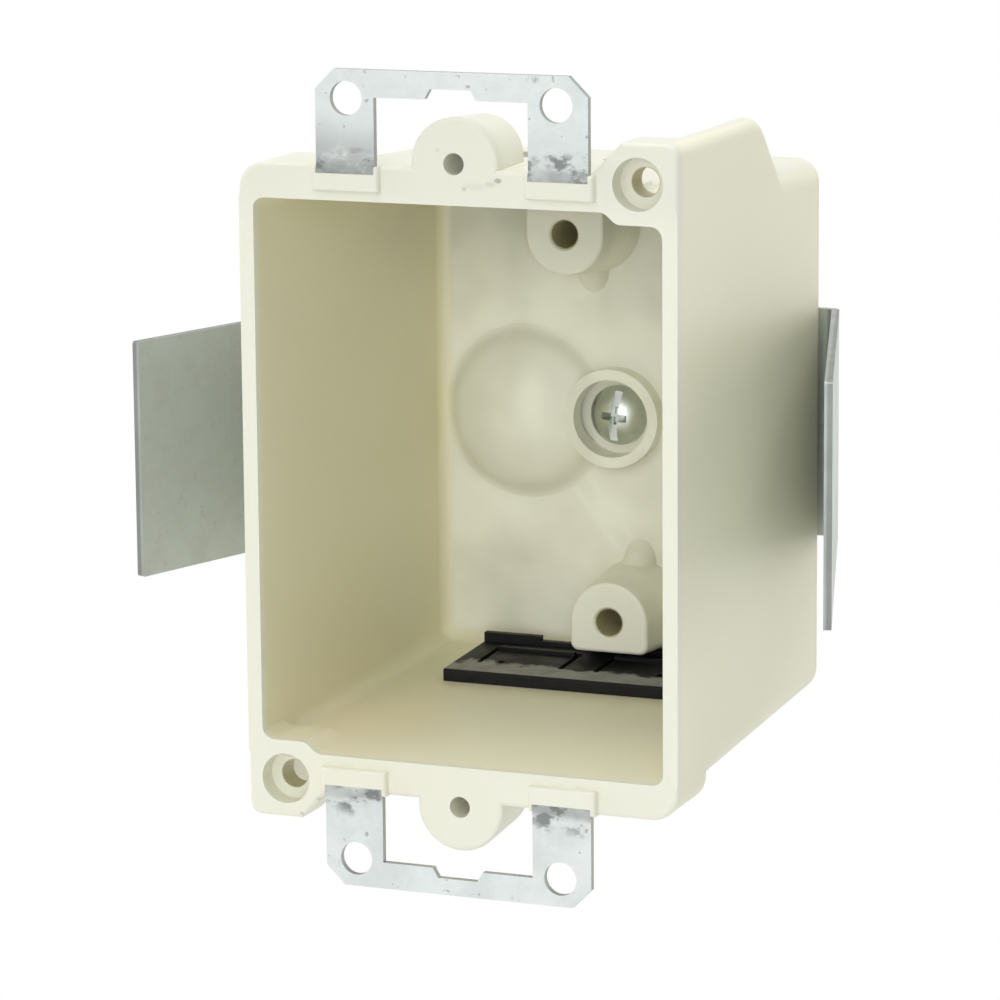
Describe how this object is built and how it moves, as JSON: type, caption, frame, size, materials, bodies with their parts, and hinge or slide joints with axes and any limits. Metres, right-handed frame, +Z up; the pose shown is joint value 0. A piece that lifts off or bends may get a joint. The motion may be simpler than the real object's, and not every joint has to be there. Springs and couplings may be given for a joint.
{
  "type": "electrical box",
  "caption": "Single-gang electrical box for existing walls, with moulded-in steel ears, a screw-drawn snap bracket behind it and cable clamps over its cable entries.",
  "frame": {"origin": "centre of the box's opening, in the plane of the wall face that the ears' backs bear on", "axes": "+Z up, +Y into the wall and the box, +X to the right seen from the room"},
  "size_m": [0.0966, 0.0855, 0.1066],
  "materials": {
    "box_body": "satin moulded compound",
    "upper_ear": "galvanised",
    "lower_ear": "galvanised",
    "upper_cable_clamp": "satin",
    "lower_cable_clamp": "satin",
    "snap_bracket": "galvanised",
    "bracket_screw": "zinc plated"
  },
  "bodies": {
    "box": {"box_body": "box_body", "upper_ear": "upper_ear", "lower_ear": "lower_ear", "upper_cable_clamp": "upper_cable_clamp", "lower_cable_clamp": "lower_cable_clamp"},
    "bracket": {"snap_bracket": "snap_bracket"},
    "screw": {"bracket_screw": "bracket_screw"}
  },
  "joints": [
    {"name": "screw_turn", "type": "hinge", "parent": "box", "child": "screw", "pos_m": [0, 0.0589, 0], "axis": [0, -1, 0], "range_deg": [0, 8640]},
    {"name": "bracket_slide", "type": "slide", "parent": "box", "child": "bracket", "axis": [0, 1, 0], "range_m": [0, 0.01905]}
  ],
  "couplings": [
    {"joint": "screw_turn", "follows": "bracket_slide", "rad_per_m": 7915.8}
  ]
}
